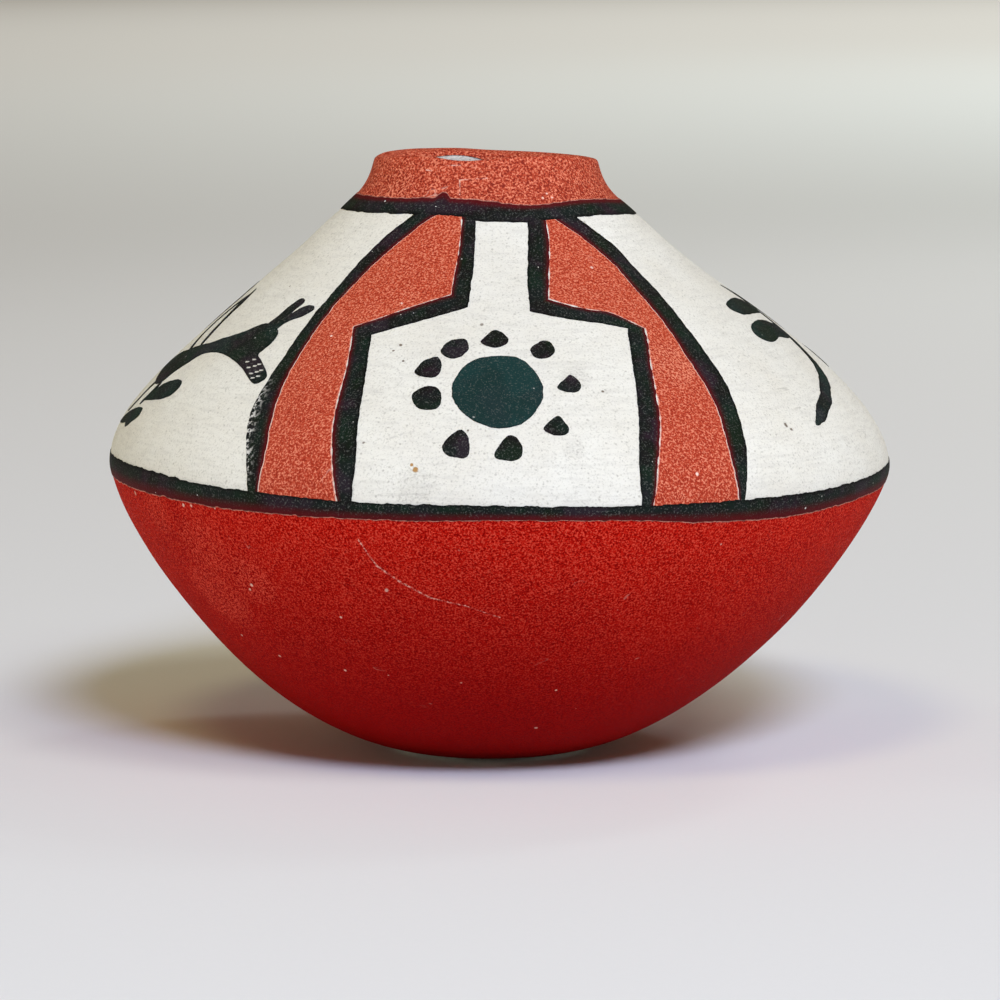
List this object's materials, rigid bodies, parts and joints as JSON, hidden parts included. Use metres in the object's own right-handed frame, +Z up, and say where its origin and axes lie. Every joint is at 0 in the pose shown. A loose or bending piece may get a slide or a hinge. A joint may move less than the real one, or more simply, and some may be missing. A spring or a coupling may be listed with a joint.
{
  "type": "clay jar",
  "caption": "Small hand-built round clay jar with a wide low shoulder, short neck and round open mouth, coated in red and white slip with painted black and red ornament.",
  "frame": {"origin": "on the ground under the middle of the shoulder's circle, which is the middle of the bounding box's bottom", "axes": "+Z up out of the mouth, -Y towards the viewer of the pictured panel, +X to that viewer's right"},
  "size_m": [0.111, 0.111, 0.0843],
  "materials": {
    "clay": "bare pale fired clay, matte",
    "red_slip": "stone-polished deep red slip, low sheen",
    "neck_slip": "thin red slip, soft sheen",
    "white_slip": "white slip, matte",
    "red_paint": "painted red slip, matte",
    "black_paint": "painted black-brown slip, matte"
  },
  "bodies": {
    "root": {"base_pat": "clay", "lower_coil_1": "clay", "lower_coil_2": "clay", "lower_coil_3": "clay", "lower_coil_4": "clay", "shoulder_coil": "clay", "upper_coil_1": "clay", "upper_coil_2": "clay", "upper_coil_3": "clay", "upper_coil_4": "clay", "neck_coil": "clay", "lip_coil": "clay", "red_slip_underbody": "red_slip", "white_slip_shoulder": "white_slip", "red_slip_neck": "neck_slip", "shoulder_band": "black_paint", "neck_band": "black_paint", "front_lobe_left": "red_paint", "front_arc_left": "black_paint", "front_step_left": "black_paint", "front_lobe_right": "red_paint", "front_arc_right": "black_paint", "front_step_right": "black_paint", "front_sun_disc": "black_paint", "front_sun_dot_1": "black_paint", "front_sun_dot_2": "black_paint", "front_sun_dot_3": "black_paint", "front_sun_dot_4": "black_paint", "front_sun_dot_5": "black_paint", "front_sun_dot_6": "black_paint", "front_sun_dot_7": "black_paint", "front_sun_dot_8": "black_paint", "front_sun_dot_9": "black_paint", "back_lobe_left": "red_paint", "back_arc_left": "black_paint", "back_step_left": "black_paint", "back_lobe_right": "red_paint", "back_arc_right": "black_paint", "back_step_right": "black_paint", "back_sun_disc": "black_paint", "back_sun_dot_1": "black_paint", "back_sun_dot_2": "black_paint", "back_sun_dot_3": "black_paint", "back_sun_dot_4": "black_paint", "back_sun_dot_5": "black_paint", "back_sun_dot_6": "black_paint", "back_sun_dot_7": "black_paint", "back_sun_dot_8": "black_paint", "back_sun_dot_9": "black_paint", "left_bird": "black_paint", "left_bird_foot": "black_paint", "left_branch": "black_paint", "right_bird": "black_paint", "right_bird_foot": "black_paint", "right_branch": "black_paint"}
  },
  "joints": []
}
